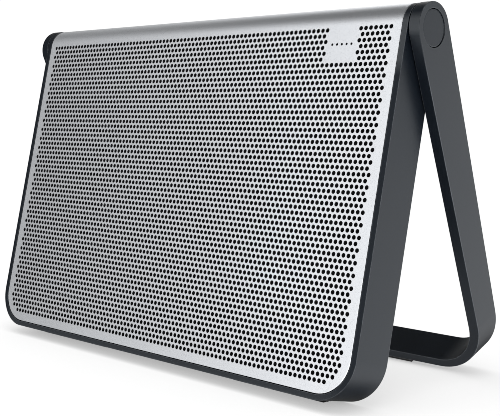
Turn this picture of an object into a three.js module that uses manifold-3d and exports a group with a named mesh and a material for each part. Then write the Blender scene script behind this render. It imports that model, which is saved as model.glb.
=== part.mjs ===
// Portable wireless speaker: a flat slab with an aluminium front sheet that rolls over the top
// edge, and a U-shaped swing stand hinged on the axis of that roll.
// Millimetres, +Z up, front towards -Y, right towards +X. The origin is on the ground under the
// middle of the outline. Slab and stand are each modelled upright in their own frame, with the
// hinge axis along x through its origin, then tilted about that axis.
import * as THREE from 'three';
import { mergeVertices } from 'three/addons/utils/BufferGeometryUtils.js';
import Module from 'manifold-3d';

const wasm = await Module();
wasm.setup();

// ---------------------------------------------------------------- driving dimensions
const SLAB_TILT = THREE.MathUtils.degToRad(-13.3); // the top leans back
const STAND_TILT = THREE.MathUtils.degToRad(20);   // the arms lean the other way
const AXIS_Y = -7.55;
const AXIS_HEIGHT = 150.49;     // hinge axis above the ground
const GAP = 0.3;                // clearance between neighbouring pieces
const OVERCUT = 1;              // how far a cutter runs past the face it opens

const THICKNESS = 20.6;
const ROLL_R = THICKNESS / 2;   // top roll, concentric with the hinge axis
const HALF_WIDTH = 238 / 2;     // slab, over the surround
const SIDE_WALL = 2.5;
const BOTTOM_WALL = 2.3;
const SLAB_BOTTOM = -151.9;
const CORNER_R = 18.25;         // slab lower corners
const INNER_HALF = HALF_WIDTH - SIDE_WALL;
const INNER_BOTTOM = SLAB_BOTTOM + BOTTOM_WALL;
const INNER_CORNER_R = CORNER_R - SIDE_WALL;
const OPEN_TOP = 60;            // top of cutters that leave the slab open upwards

const ARM_IN = 119.63;          // stand arm, inner face
const ARM_OUT = 124.5;          // stand arm, outer face
const STAND_BOTTOM = -156;      // underside of the cross bar
const PIN_R = 3;                // hinge pin

const SIDES = [['left', -1], ['right', 1]];

// rubber feet: centre and length along x, front and back along y
const SLAB_FOOT = {
  centre: 70, length: 55, front: 3.5, back: 9.3, bottom: SLAB_BOTTOM, tilt: SLAB_TILT,
};
const STAND_FOOT = {
  centre: 60, length: 50, front: -5.6, back: 1, bottom: STAND_BOTTOM, tilt: STAND_TILT,
};
const FOOT_POCKET_DEPTH = 1.2;

// ---------------------------------------------------------------- materials
const DARK = { color: 0x3f4449, roughness: 0.42, metalness: 0.35 };
const DARKER = { color: 0x24282c, roughness: 0.55, metalness: 0.1 };
const SILVER = { color: 0xb9bcc0, roughness: 0.34, metalness: 0.85 };
const STEEL = { color: 0x9a9da0, roughness: 0.35, metalness: 0.9 };
const COPPER = { color: 0xb87333, roughness: 0.4, metalness: 0.8 };
const RUBBER = { color: 0x17181a, roughness: 0.85, metalness: 0 };
const BLACK = { color: 0x101113, roughness: 0.7, metalness: 0 };
const LIGHT = { color: 0xdfe6ea, roughness: 0.3, metalness: 0 };
const CONE = { color: 0x2a2c2f, roughness: 0.6, metalness: 0 };
const RADIATOR = { color: 0x2f3236, roughness: 0.5, metalness: 0.2 };
const BOARD = { color: 0x1f5a3a, roughness: 0.5, metalness: 0 };
const BATTERY = { color: 0x274e86, roughness: 0.45, metalness: 0 };
const BATTERY_CABLE = { color: 0x8a1d1a, roughness: 0.6, metalness: 0 };
const SPEAKER_WIRE = {
  left: { color: 0x9c2320, roughness: 0.6, metalness: 0 },
  right: { color: 0x1d1e20, roughness: 0.6, metalness: 0 },
};

// ---------------------------------------------------------------- groups
function tiltedGroup(tilt) {
  const group = new THREE.Group();
  group.position.set(0, AXIS_Y, AXIS_HEIGHT);
  group.rotation.x = tilt;
  return group;
}
const root = new THREE.Group();
const slab = tiltedGroup(SLAB_TILT);
const stand = tiltedGroup(STAND_TILT);
root.add(slab, stand);

// ---------------------------------------------------------------- solids
// closed, outward-facing solid from a geometry
function solid(geometry) {
  const bare = new THREE.BufferGeometry();
  bare.setAttribute('position', geometry.attributes.position);
  bare.setIndex(geometry.index);
  const merged = mergeVertices(bare, 1e-4);
  const { position } = merged.attributes;
  const index = merged.index.array;
  const corner = (i) => new THREE.Vector3().fromBufferAttribute(position, i);
  const triangles = [];
  let volume = 0;
  for (let i = 0; i < index.length; i += 3) {
    const [a, b, c] = index.slice(i, i + 3);
    if (a === b || b === c || a === c) continue;
    triangles.push(a, b, c);
    volume += corner(a).dot(corner(b).cross(corner(c)));
  }
  if (volume < 0) {
    for (let i = 0; i < triangles.length; i += 3) {
      [triangles[i + 1], triangles[i + 2]] = [triangles[i + 2], triangles[i + 1]];
    }
  }
  return new wasm.Manifold(new wasm.Mesh({
    numProp: 3,
    vertProperties: new Float32Array(position.array),
    triVerts: new Uint32Array(triangles),
  }));
}
const asSolid = (shape) => (shape.isBufferGeometry ? solid(shape) : shape);
const cut = (body, ...tools) => tools.reduce((rest, t) => rest.subtract(asSolid(t)), asSolid(body));
const join = (body, ...parts) => parts.reduce((sum, p) => sum.add(asSolid(p)), asSolid(body));
const overlap = (a, b) => asSolid(a).intersect(asSolid(b));

function add(group, name, shape, material) {
  const { vertProperties, triVerts } = asSolid(shape).getMesh();
  const geometry = new THREE.BufferGeometry();
  geometry.setAttribute('position', new THREE.BufferAttribute(new Float32Array(vertProperties), 3));
  geometry.setIndex(new THREE.BufferAttribute(new Uint32Array(triVerts), 1));
  geometry.computeVertexNormals();
  const mesh = new THREE.Mesh(geometry, new THREE.MeshStandardMaterial(material));
  mesh.name = name;
  group.add(mesh);
}

// ---------------------------------------------------------------- shape helpers
// A span is a [from, to] pair along one axis.
const widen = ([from, to], by = OVERCUT) => [from - by, to + by];
const around = (centre, half) => [centre - half, centre + half];
// a span on the right, mirrored for the left side
const onSide = (side, [from, to]) => (side > 0 ? [from, to] : [-to, -from]);

const XZ_TO_Y = new THREE.Matrix4().makeBasis(
  new THREE.Vector3(1, 0, 0), new THREE.Vector3(0, 0, 1), new THREE.Vector3(0, -1, 0));
const YZ_TO_X = new THREE.Matrix4().makeBasis(
  new THREE.Vector3(0, 1, 0), new THREE.Vector3(0, 0, 1), new THREE.Vector3(1, 0, 0));
function extrude(shape, [from, to], curveSegments) {
  const depth = to - from;
  return new THREE.ExtrudeGeometry(shape, { depth, bevelEnabled: false, curveSegments });
}
// a shape drawn in x and z, extruded along y
function alongY(shape, span, segments) {
  return extrude(shape, span, segments).applyMatrix4(XZ_TO_Y).translate(0, span[1], 0);
}
// a shape drawn in y and z, extruded along x
function alongX(shape, span, segments) {
  return extrude(shape, span, segments).applyMatrix4(YZ_TO_X).translate(span[0], 0, 0);
}
function box([x0, x1], [y0, y1], [z0, z1]) {
  return new THREE.BoxGeometry(x1 - x0, y1 - y0, z1 - z0)
    .translate((x0 + x1) / 2, (y0 + y1) / 2, (z0 + z1) / 2);
}

// Turned profiles are lists of [radius, place along the axis].
const rod = (radius, [from, to]) => [[0, from], [radius, from], [radius, to], [0, to]];
const ring = (inner, outer, [from, to]) => [
  [inner, from], [outer, from], [outer, to], [inner, to], [inner, from]];
const lathe = (profile, segments) => new THREE.LatheGeometry(
  profile.map(([radius, place]) => new THREE.Vector2(radius, place)), segments);
// turned about a line parallel to y at (x, z)
const turnY = (profile, [x, z], segments) => lathe(profile, segments).translate(x, 0, z);
// turned about the hinge axis
const turnX = (profile, segments) => lathe(profile, segments).rotateZ(-Math.PI / 2);

// rectangle in x and z centred on x = 0, with rounded corners; upper 0 leaves the top square
function rounded(half, bottom, top, lower, upper = lower) {
  const shape = new THREE.Shape();
  shape.moveTo(-half + lower, bottom);
  shape.lineTo(half - lower, bottom);
  shape.absarc(half - lower, bottom + lower, lower, -Math.PI / 2, 0, false);
  if (upper > 0) {
    shape.lineTo(half, top - upper);
    shape.absarc(half - upper, top - upper, upper, 0, Math.PI / 2, false);
    shape.lineTo(-half + upper, top);
    shape.absarc(-half + upper, top - upper, upper, Math.PI / 2, Math.PI, false);
  } else {
    shape.lineTo(half, top);
    shape.lineTo(-half, top);
  }
  shape.lineTo(-half, bottom + lower);
  shape.absarc(-half + lower, bottom + lower, lower, Math.PI, Math.PI * 1.5, false);
  return shape;
}
// the inside of the surround, moved in by inset at the sides and bottom
const insetOutline = (inset, top, upper = 0) => rounded(
  INNER_HALF - inset, INNER_BOTTOM + inset, top, INNER_CORNER_R - inset, upper);

// six-sided cable swept along a smooth curve through [x, y, z] points
function cable(points, radius, steps) {
  const extrudePath = new THREE.CatmullRomCurve3(points.map((p) => new THREE.Vector3(...p)));
  const circle = new THREE.EllipseCurve(0, 0, radius, radius).getPoints(6);
  const section = new THREE.Shape(circle.slice(0, 6));
  return new THREE.ExtrudeGeometry(section, { steps, bevelEnabled: false, extrudePath });
}

// rubber foot whose underside lies flat on the ground once its group is tilted
function footPad({ centre, length, front, back, bottom, tilt }, side) {
  const ground = (y) => -(AXIS_HEIGHT + y * Math.sin(tilt)) / Math.cos(tilt);
  const top = bottom + FOOT_POCKET_DEPTH - GAP;
  const section = new THREE.Shape();
  section.moveTo(front, top);
  section.lineTo(front, ground(front));
  section.lineTo(back, ground(back));
  section.lineTo(back, top);
  section.lineTo(front, top);
  return alongX(section, around(side * centre, length / 2), 1);
}
const footPocket = ({ centre, length, front, back, bottom }, side) => box(
  around(side * centre, length / 2 + GAP), widen([front, back], GAP),
  [bottom - OVERCUT, bottom + FOOT_POCKET_DEPTH]);

// ---------------------------------------------------------------- front grille
const SHEET = 0.9;
const GRILLE_BACK_Z = -12;      // where the sheet ends behind the roll

function frontGrille() {
  const inner = ROLL_R - SHEET;
  const below = INNER_BOTTOM + GAP - OVERCUT;
  const hook = new THREE.Shape();
  hook.moveTo(-ROLL_R, below);
  hook.lineTo(-inner, below);
  hook.lineTo(-inner, 0);
  hook.absarc(0, 0, inner, Math.PI, 0, true);
  hook.lineTo(inner, GRILLE_BACK_Z);
  hook.lineTo(ROLL_R, GRILLE_BACK_Z);
  hook.lineTo(ROLL_R, 0);
  hook.absarc(0, 0, ROLL_R, 0, Math.PI, false);
  hook.lineTo(-ROLL_R, below);
  return overlap(
    alongX(hook, around(0, INNER_HALF - GAP), 12),
    alongY(insetOutline(GAP, 30), [-20, 20], 8));
}
add(slab, 'front_grille', frontGrille(), SILVER);

// ---------------------------------------------------------------- surround
const LEDGE_WIDTH = 3.5;
const FRONT_LEDGE = { span: [-8.4, -7.2], top: -10 };
const REAR_LEDGE = { span: [5.4, 7.0], top: -14 };
const BUSH_R = 4.5;
const WASHER_SEAT_R = 8.2;
const WASHER_SEAT_X = HALF_WIDTH - 1;

// straight up to the hinge axis, half round above it
function slabSide() {
  const below = SLAB_BOTTOM - 5;
  const shape = new THREE.Shape();
  shape.moveTo(-ROLL_R, below);
  shape.lineTo(ROLL_R, below);
  shape.lineTo(ROLL_R, 0);
  shape.absarc(0, 0, ROLL_R, 0, Math.PI, false);
  shape.lineTo(-ROLL_R, below);
  return shape;
}
// strip round the inside of the walls, rooted 1 mm into them
function ledge({ span, top }) {
  const outline = rounded(INNER_HALF + 1, INNER_BOTTOM - 1, top, INNER_CORNER_R, 0);
  return cut(
    alongY(outline, span, 8),
    alongY(insetOutline(LEDGE_WIDTH, OPEN_TOP), widen(span), 8));
}
function mainFrame() {
  const outer = overlap(
    alongY(rounded(HALF_WIDTH, SLAB_BOTTOM, 30, CORNER_R, 0), around(0, ROLL_R), 8),
    alongX(slabSide(), around(0, HALF_WIDTH + 5), 12));
  const walls = cut(outer, alongY(insetOutline(0, OPEN_TOP), [-30, 30], 8));
  let frame = join(walls, ledge(FRONT_LEDGE), ledge(REAR_LEDGE));
  for (const [, side] of SIDES) {
    const bore = onSide(side, [INNER_HALF - 3, HALF_WIDTH + 3]);
    const washerSeat = onSide(side, [WASHER_SEAT_X, HALF_WIDTH + 3]);
    frame = cut(frame,
      turnX(rod(BUSH_R + GAP, bore), 24),
      turnX(rod(WASHER_SEAT_R, washerSeat), 24),
      footPocket(SLAB_FOOT, side));
  }
  return frame;
}
add(slab, 'main_frame', mainFrame(), DARK);

// ---------------------------------------------------------------- rear cover
const COVER_Y = [8.2, ROLL_R];
const SEAL_Y = [7.15, 8.05];
const SCREWS = [ // x, z
  [-106, -22], [106, -22], [-106, -138], [106, -138], [0, -22], [0, -141.5]];
const SCREW_PROFILE = [[0, 0.5], [1.2, 0.5], [1.2, 9.4], [2.7, 9.4], [2.7, 10], [0, 10]];
const SCREW_HOLE_R = 1.7;
const COUNTERBORE = { radius: 3, depth: 1.1 };
const BUTTON_NAMES = ['power_button', 'pair_button', 'volume_down_button', 'volume_up_button'];
const BUTTONS = BUTTON_NAMES.map((name, i) => ({ name, x: 44 + i * 14 }));
const BUTTON_Z = -28;
const BUTTON_R = 4;
const FLAP_OPENING = { x: [-96, -62], z: [-134.2, -122.2] };

function rearCover() {
  const back = COVER_Y[1];
  const through = widen(COVER_Y);
  let cover = solid(alongY(insetOutline(GAP, GRILLE_BACK_Z - GAP, 0.6), COVER_Y, 8));
  for (const place of SCREWS) {
    const counterbore = [back - COUNTERBORE.depth, back + OVERCUT];
    cover = cut(cover,
      turnY(rod(SCREW_HOLE_R, through), place, 10),
      turnY(rod(COUNTERBORE.radius, counterbore), place, 12));
  }
  for (const { x } of BUTTONS) {
    cover = cut(cover, turnY(rod(BUTTON_R + GAP, through), [x, BUTTON_Z], 16));
  }
  return cut(cover, box(FLAP_OPENING.x, through, FLAP_OPENING.z));
}
add(slab, 'rear_cover', rearCover(), DARK);

// foam seal between the cover and the ledge
function coverGasket() {
  return cut(
    alongY(insetOutline(0.8, -15, 1), SEAL_Y, 4),
    alongY(insetOutline(3, -17, 1), widen(SEAL_Y), 4));
}
add(slab, 'cover_gasket', coverGasket(), RUBBER);

SCREWS.forEach((place, i) => {
  add(slab, `rear_screw_${i + 1}`, turnY(SCREW_PROFILE, place, 10), STEEL);
});

// ---------------------------------------------------------------- buttons and their board
const BUTTON_PROFILE = [
  [0, 7.3], [5.2, 7.3], [5.2, 7.9], [BUTTON_R, 7.9], [BUTTON_R, 10.75], [0, 10.75]];
for (const { name, x } of BUTTONS) {
  add(slab, name, turnY(BUTTON_PROFILE, [x, BUTTON_Z], 16), DARKER);
}
const BUTTON_BOARD_X = widen([BUTTONS[0].x, BUTTONS.at(-1).x], 8);
add(slab, 'button_board', box(BUTTON_BOARD_X, [4.6, 5.8], around(BUTTON_Z, 7)), BOARD);

// ---------------------------------------------------------------- cloth and status lights
add(slab, 'acoustic_cloth', alongY(rounded(113.6, -147, -1, 14, 0), [-9.1, -8.7], 4), BLACK);

const STATUS_LIGHTS = { count: 5, firstX: 82.5, pitch: 2.5, z: -7.9, radius: 0.6 };
function statusLightBar() {
  const { count, firstX, pitch, z, radius } = STATUS_LIGHTS;
  let bar = solid(box([80.4, 94.6], [-8.4, -6.4], [-9.4, -6.4]));
  for (let i = 0; i < count; i++) {
    bar = join(bar, turnY(rod(radius, [-8.65, -8]), [firstX + i * pitch, z], 8));
  }
  return bar;
}
add(slab, 'status_light_bar', statusLightBar(), LIGHT);

// ---------------------------------------------------------------- baffle
const BAFFLE_Y = [-6.6, -4.8];
const DRIVER_X = 72;
const DRIVER_Z = -78;
const DRIVER_OPENING_R = 25.8;
const POST = { radius: 3.2, span: [-5.5, 7.7] };
const POST_BORE = { radius: 1.5, span: [-0.5, 9] };

// racetrack outline centred between the drivers
function racetrack(halfWidth) {
  const halfHeight = halfWidth - 7;
  const [bottom, top] = around(DRIVER_Z, halfHeight);
  return rounded(halfWidth, bottom, top, halfHeight - 0.1);
}
function baffle() {
  const through = widen(BAFFLE_Y);
  let plate = solid(alongY(rounded(112.6, -145.4, -14, 11, 2), BAFFLE_Y, 6));
  for (const [, side] of SIDES) {
    plate = cut(plate, turnY(rod(DRIVER_OPENING_R, through), [side * DRIVER_X, DRIVER_Z], 24));
  }
  plate = cut(plate, alongY(racetrack(30), through, 5));
  for (const place of SCREWS) {
    plate = join(plate, turnY(rod(POST.radius, POST.span), place, 10));
    plate = cut(plate, turnY(rod(POST_BORE.radius, POST_BORE.span), place, 8));
  }
  return plate;
}
add(slab, 'baffle', baffle(), DARKER);

// ---------------------------------------------------------------- drivers
// turned parts of one driver: name, material, profile of [radius, y]
const DRIVER_PARTS = [
  ['baffle_gasket', RUBBER, ring(26.2, 28, [-7, -6.75])],
  ['driver_basket', STEEL, [
    [24.3, -8.2], [28, -8.2], [28, -7.15], [25.4, -7.15], [25.2, -5], [15.5, 1.2], [15.5, 1.9],
    [8, 1.9], [8, 1.1], [14.6, 1.1], [14.6, 0.7], [24.3, -5.4], [24.3, -8.2]]],
  ['driver_surround', RUBBER, [
    [19.4, -7.3], [20.2, -8.2], [21.6, -8.55], [23, -8.2], [23.9, -7.3], [23.9, -6.9], [23, -7],
    [22.4, -7.8], [21.6, -8.05], [20.8, -7.8], [20.2, -6.9], [19.4, -6.9], [19.4, -7.3]]],
  ['driver_cone', CONE, [
    [0, -5.6], [2.6, -5.4], [5.2, -4.7], [6.6, -3.7], [19.1, -7.5], [19.1, -6.9], [6.6, -2.9],
    [6.2, -0.4], [5.6, -0.4], [5.6, -3.1], [4.6, -4], [2.4, -4.8], [0, -5]]],
  ['driver_magnet', STEEL, rod(13.5, [2.2, 6.6])],
];
// right-hand wire, clear of the magnet on its way to the main board: x, y, z
const WIRE_PATH = [[55, 3.6, -66], [50, 4.8, -58], [44, 5, -51], [38, 5, -45.5]];

for (const [sideName, side] of SIDES) {
  for (const [name, material, profile] of DRIVER_PARTS) {
    const part = turnY(profile, [side * DRIVER_X, DRIVER_Z], 20);
    add(slab, `${name}_${sideName}`, part, material);
  }
  const path = WIRE_PATH.map(([x, y, z]) => [side * x, y, z]);
  add(slab, `speaker_wire_${sideName}`, cable(path, 0.7, 8), SPEAKER_WIRE[sideName]);
}

// ---------------------------------------------------------------- passive radiator
const PASSIVE_FRAME_Y = [-8, -6.9];
function passiveSurround() {
  return cut(
    alongY(racetrack(32.5), PASSIVE_FRAME_Y, 5),
    alongY(racetrack(28.6), widen(PASSIVE_FRAME_Y), 5));
}
add(slab, 'passive_surround', passiveSurround(), RUBBER);
add(slab, 'passive_radiator', alongY(racetrack(28.2), [-7.9, -6.6], 5), RADIATOR);

// ---------------------------------------------------------------- electronics
add(slab, 'main_board', box([-46, 34], [2.6, 3.8], [-54, -27]), BOARD);
add(slab, 'shield_can', box([-38, -12], [-0.2, 2.3], [-50, -31]), STEEL);
add(slab, 'antenna', box([12, 30], [4.1, 4.5], [-47, -40]), COPPER);
add(slab, 'battery_pack', alongY(rounded(52, -137.5, -108, 4), [-3.6, 6], 4), BATTERY);

// from the battery up to the main board: x, y, z
const BATTERY_CABLE_PATH = [
  [36, 1.2, -107.4], [38.5, 2.4, -96], [38.5, 2.6, -76], [37, 2.2, -62], [31, 1.2, -50.8]];
add(slab, 'battery_cable', cable(BATTERY_CABLE_PATH, 0.8, 10), BATTERY_CABLE);

add(slab, 'port_board', box([-98, -60], [0.6, 1.8], [-136.5, -119.5]), BOARD);

const SOCKET_Y = [2.1, 7.6];
const SOCKET_CUT_END = 9;
const JACK = { x: -88.5, z: -128.1, halfWidth: 4.1, halfHeight: 3.9, boreR: 1.8, floor: 3.2 };
function auxJack() {
  const { x, z, halfWidth, halfHeight, boreR, floor } = JACK;
  return cut(
    box(around(x, halfWidth), SOCKET_Y, around(z, halfHeight)),
    turnY(rod(boreR, [floor, SOCKET_CUT_END]), [x, z], 16));
}
add(slab, 'aux_jack', auxJack(), BLACK);

const PORT = { x: [-76.6, -67.4], z: [-129.8, -126.4], wall: 0.6, floor: 3.6 };
function chargePort() {
  const { x, z, wall, floor } = PORT;
  return cut(
    box(x, SOCKET_Y, z),
    box(widen(x, -wall), [floor, SOCKET_CUT_END], widen(z, -wall)));
}
add(slab, 'charge_port', chargePort(), STEEL);

// rubber door over the sockets, with a half-round lower edge
const FLAP = { y: 9.25, roundZ: FLAP_OPENING.z[0] + 1.3, halfThickness: 0.85 };
function portFlap() {
  const { y, roundZ, halfThickness } = FLAP;
  const top = FLAP_OPENING.z[1] - GAP;
  const section = new THREE.Shape();
  section.moveTo(y + halfThickness, roundZ);
  section.lineTo(y + halfThickness, top);
  section.lineTo(y - halfThickness, top);
  section.lineTo(y - halfThickness, roundZ);
  section.absarc(y, roundZ, halfThickness, Math.PI, 2 * Math.PI, false);
  return alongX(section, widen(FLAP_OPENING.x, -GAP), 6);
}
add(slab, 'port_flap', portFlap(), DARKER);

for (const [sideName, side] of SIDES) {
  add(slab, `slab_foot_${sideName}`, footPad(SLAB_FOOT, side), RUBBER);
}

// ---------------------------------------------------------------- hinge hardware in the slab
const PIN_CLEAR_R = PIN_R + 0.35;
const BUSH_FLANGE_R = 6.4;
const WASHER_R = 7.8;
const BLOCK_X = [103, INNER_HALF - 1.7];

// flanged bush in the side wall
function hingeBush(side) {
  const sleeve = onSide(side, [INNER_HALF - 0.4, WASHER_SEAT_X]);
  const flange = onSide(side, [INNER_HALF - 1.3, INNER_HALF - GAP]);
  return join(
    turnX(ring(PIN_CLEAR_R, BUSH_R, sleeve), 14),
    turnX(ring(PIN_CLEAR_R, BUSH_FLANGE_R, flange), 14));
}
function frictionWasher(side) {
  const span = onSide(side, [HALF_WIDTH - 0.68, HALF_WIDTH + 0.3]);
  return turnX(ring(PIN_CLEAR_R, WASHER_R, span), 16);
}
function hingeBlock(side) {
  const span = onSide(side, BLOCK_X);
  return cut(box(span, [-6, 6], [-8.5, 5.8]), turnX(rod(PIN_CLEAR_R, widen(span)), 20));
}
for (const [sideName, side] of SIDES) {
  add(slab, `hinge_bush_${sideName}`, hingeBush(side), BLACK);
  add(slab, `friction_washer_${sideName}`, frictionWasher(side), STEEL);
  add(slab, `hinge_block_${sideName}`, hingeBlock(side), STEEL);
}

// ---------------------------------------------------------------- stand
const ARM_TOP = 40;             // outlines run up to here, past the arm heads
const HEAD_R = 10.5;            // arm head
const ARM_TAPER = 0.0221;       // arm half depth lost per mm of length
const OUTER_CORNER_R = 24.6;
const BAR_FRONT = { y: -7.25, top: -152.4, cornerR: 20 }; // inside of the U at its front edge
const BAR_SLOPE = 0.2818;       // rise of the bar's top face per mm towards the back
const CORNER_LOSS = 0.2;        // inner corner radius lost per mm towards the back
const CAP_R = 7.5;
const PIN_HEAD = { radius: 5.2, thickness: 1 };
const HEAD_RECESS_X = ARM_OUT - 3.2;

// closed solid between two polygons in x and z with the same number of corners
function betweenRings(front, frontY, back, backY) {
  const count = front.length;
  const positions = [];
  for (const p of front) positions.push(p.x, frontY, p.y);
  for (const p of back) positions.push(p.x, backY, p.y);
  const index = [];
  for (let i = 0; i < count; i++) {
    const next = (i + 1) % count;
    index.push(i, next, count + next, i, count + next, count + i);
  }
  for (const [a, b, c] of THREE.ShapeUtils.triangulateShape(front, [])) {
    index.push(a, c, b, count + a, count + b, count + c);
  }
  const geometry = new THREE.BufferGeometry();
  geometry.setAttribute('position', new THREE.Float32BufferAttribute(positions, 3));
  geometry.setIndex(index);
  return geometry;
}
// inside of the U at depth y
function innerOutline(y) {
  const behind = y - BAR_FRONT.y;
  const floor = BAR_FRONT.top + behind * BAR_SLOPE;
  const radius = BAR_FRONT.cornerR - behind * CORNER_LOSS;
  const steps = 8;
  const corner = (centreX, start) => Array.from({ length: steps + 1 }, (_, i) => {
    const angle = start + (i / steps) * Math.PI / 2;
    return new THREE.Vector2(
      centreX + radius * Math.cos(angle), floor + radius + radius * Math.sin(angle));
  });
  return [
    ...corner(ARM_IN - radius, -Math.PI / 2),
    new THREE.Vector2(ARM_IN, ARM_TOP),
    new THREE.Vector2(-ARM_IN, ARM_TOP),
    ...corner(-ARM_IN + radius, Math.PI),
  ];
}
// side view of an arm: round head, narrowing downwards
function armSide() {
  const below = STAND_BOTTOM - 4;
  const halfDepth = HEAD_R + 0.1 + ARM_TAPER * below;
  const angle = Math.atan(ARM_TAPER);
  const shape = new THREE.Shape();
  shape.moveTo(-halfDepth, below);
  shape.lineTo(halfDepth, below);
  shape.lineTo(HEAD_R * Math.cos(angle), HEAD_R * Math.sin(angle));
  shape.absarc(0, 0, HEAD_R, angle, Math.PI - angle, false);
  shape.lineTo(-halfDepth, below);
  return shape;
}
function standFrame() {
  const outline = rounded(ARM_OUT, STAND_BOTTOM, ARM_TOP, OUTER_CORNER_R, 0);
  let frame = overlap(
    alongY(outline, [-15, 15], 10),
    alongX(armSide(), around(0, ARM_OUT + 5), 14));
  frame = cut(frame, betweenRings(innerOutline(-16), -16, innerOutline(16), 16));
  for (const [, side] of SIDES) {
    // recesses for the cap and the pin head, then the pin bore
    const hole = (radius, from, segments) => turnX(
      rod(radius, onSide(side, [from, ARM_OUT + 3])), segments);
    frame = cut(frame,
      hole(CAP_R + GAP, ARM_OUT - 1.6, 28),
      hole(PIN_HEAD.radius + GAP, HEAD_RECESS_X, 20),
      hole(PIN_R + GAP, ARM_IN - 3, 20),
      footPocket(STAND_FOOT, side));
  }
  return frame;
}
add(stand, 'stand_frame', standFrame(), DARK);

const armCap = (side) => turnX(rod(CAP_R, onSide(side, [ARM_OUT - 1.3, ARM_OUT - 0.2])), 28);

// headed pin with a thinner inner end that carries the nut
function hingePin(side) {
  const endR = PIN_R - 0.5;
  const head = HEAD_RECESS_X + GAP;
  const headEnd = head + PIN_HEAD.thickness;
  const profile = [
    [0, 97], [endR, 97], [endR, 102.5], [PIN_R, 102.5], [PIN_R, head],
    [PIN_HEAD.radius, head], [PIN_HEAD.radius, headEnd], [0, headEnd]];
  return turnX(profile.map(([radius, x]) => [radius, side * x]), 20);
}
function hingeNut(side) {
  const span = onSide(side, [98, 101.6]);
  return cut(turnX(rod(5.4, span), 6), turnX(rod(PIN_R - 0.15, widen(span)), 20));
}
for (const [sideName, side] of SIDES) {
  add(stand, `arm_cap_${sideName}`, armCap(side), DARK);
  add(stand, `hinge_pin_${sideName}`, hingePin(side), STEEL);
  add(stand, `hinge_nut_${sideName}`, hingeNut(side), STEEL);
  add(stand, `stand_foot_${sideName}`, footPad(STAND_FOOT, side), RUBBER);
}

export default root;
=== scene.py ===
"""A slab-shaped loudspeaker with a U-shaped swing stand hinged at its upper corners.

The speaker faces -Y and stands on z = 0, x to the right. Slab and stand are drawn in millimetres
in two local frames with the hinge axis as origin: x right, y towards the back, z up the slab or
up the arms.
"""
import math

import bmesh
import bpy
import numpy as np
from mathutils import Matrix, Vector
from mathutils.geometry import delaunay_2d_cdt


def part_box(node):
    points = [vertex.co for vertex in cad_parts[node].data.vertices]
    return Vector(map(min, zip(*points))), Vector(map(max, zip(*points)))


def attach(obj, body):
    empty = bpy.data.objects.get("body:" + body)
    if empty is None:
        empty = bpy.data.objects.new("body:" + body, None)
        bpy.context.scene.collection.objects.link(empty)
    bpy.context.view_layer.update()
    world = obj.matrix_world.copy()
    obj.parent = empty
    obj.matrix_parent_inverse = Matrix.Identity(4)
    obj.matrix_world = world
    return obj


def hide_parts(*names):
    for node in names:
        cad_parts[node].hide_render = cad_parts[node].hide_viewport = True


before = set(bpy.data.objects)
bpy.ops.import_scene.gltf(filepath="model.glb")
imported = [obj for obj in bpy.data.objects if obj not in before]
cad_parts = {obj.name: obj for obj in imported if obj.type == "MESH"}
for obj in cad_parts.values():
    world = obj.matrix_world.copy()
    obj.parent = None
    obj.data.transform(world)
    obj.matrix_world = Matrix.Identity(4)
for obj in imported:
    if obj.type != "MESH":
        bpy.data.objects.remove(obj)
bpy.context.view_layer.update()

scene = bpy.context.scene
MM = 0.001
SIDES = {"left": -1, "right": 1}

pin_low, pin_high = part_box("hinge_pin_right")
AXIS = Vector((0, (pin_low.y + pin_high.y) / 2, (pin_low.z + pin_high.z) / 2))
LEAN, TILT = math.radians(-13.3), math.radians(20.0)  # of the slab and of the stand, about x


def local_frame(angle):
    return Matrix.Translation(AXIS) @ Matrix.Rotation(angle, 4, "X") @ Matrix.Scale(MM, 4)


SLAB, STAND = local_frame(LEAN), local_frame(TILT)

# ------------------------------------------------------------------ driving sizes, millimetres
GAP = 0.3  # clearance between neighbouring pieces

# slab
HALF_W = 119.0
THICK = 20.6
ROLL_R = THICK / 2  # the slab is rounded over the hinge axis
SLAB_BOTTOM = -151.9
CORNER_R = 18.25
RIM_SIDE, RIM_BOTTOM = 2.5, 2.3
INNER_W = HALF_W - RIM_SIDE
INNER_Z = SLAB_BOTTOM + RIM_BOTTOM
INNER_CORNER = CORNER_R - RIM_SIDE
PANEL_W = INNER_W - GAP  # front sheet and rear cover, inside the rim
PANEL_Z = INNER_Z + GAP
PANEL_CORNER = INNER_CORNER - GAP
SHEET_END = 12  # the front sheet comes down the back this far below the axis

# rear cover
COVER_Y = 8.2  # inner face
SCREWS = [(-106, -22), (106, -22), (-106, -138), (106, -138), (0, -22), (0, -141.5)]  # (x, z)
BUTTON_X, BUTTON_PITCH, BUTTON_Z = 44, 14, -28
BUTTONS = [(name, BUTTON_X + BUTTON_PITCH * i)
           for i, name in enumerate(("power", "pair", "volume_down", "volume_up"))]
PORT_X0, PORT_X1, PORT_Z0, PORT_Z1 = -96, -62, -134.2, -122.2

# stand
ARM_IN, ARM_OUT = 119.63, 124.5  # inner and outer faces of the arms
HEAD_R = 10.5
TAPER = 0.0221  # loss of half depth per millimetre down the arm
STAND_BOTTOM = -156.0

# feet: x of the middle, length along x, front and back in y, underside of the part they sit in
SLAB_FOOT = dict(x=70, length=55, front=3.5, back=9.3, bottom=SLAB_BOTTOM)
STAND_FOOT = dict(x=60, length=50, front=-5.6, back=1.0, bottom=STAND_BOTTOM)


# ------------------------------------------------------------------ mesh helpers
def new_object(name, verts, faces, tidy=True):
    mesh = bpy.data.meshes.new(name)
    mesh.from_pydata([tuple(map(float, v)) for v in verts], [], faces)
    mesh.update()
    obj = bpy.data.objects.new(name, mesh)
    scene.collection.objects.link(obj)
    if tidy:
        bm = bmesh.new()
        bm.from_mesh(mesh)
        bmesh.ops.remove_doubles(bm, verts=bm.verts, dist=1e-5)
        bmesh.ops.recalc_face_normals(bm, faces=bm.faces)
        bm.to_mesh(mesh)
        bm.free()
    return obj


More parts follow.
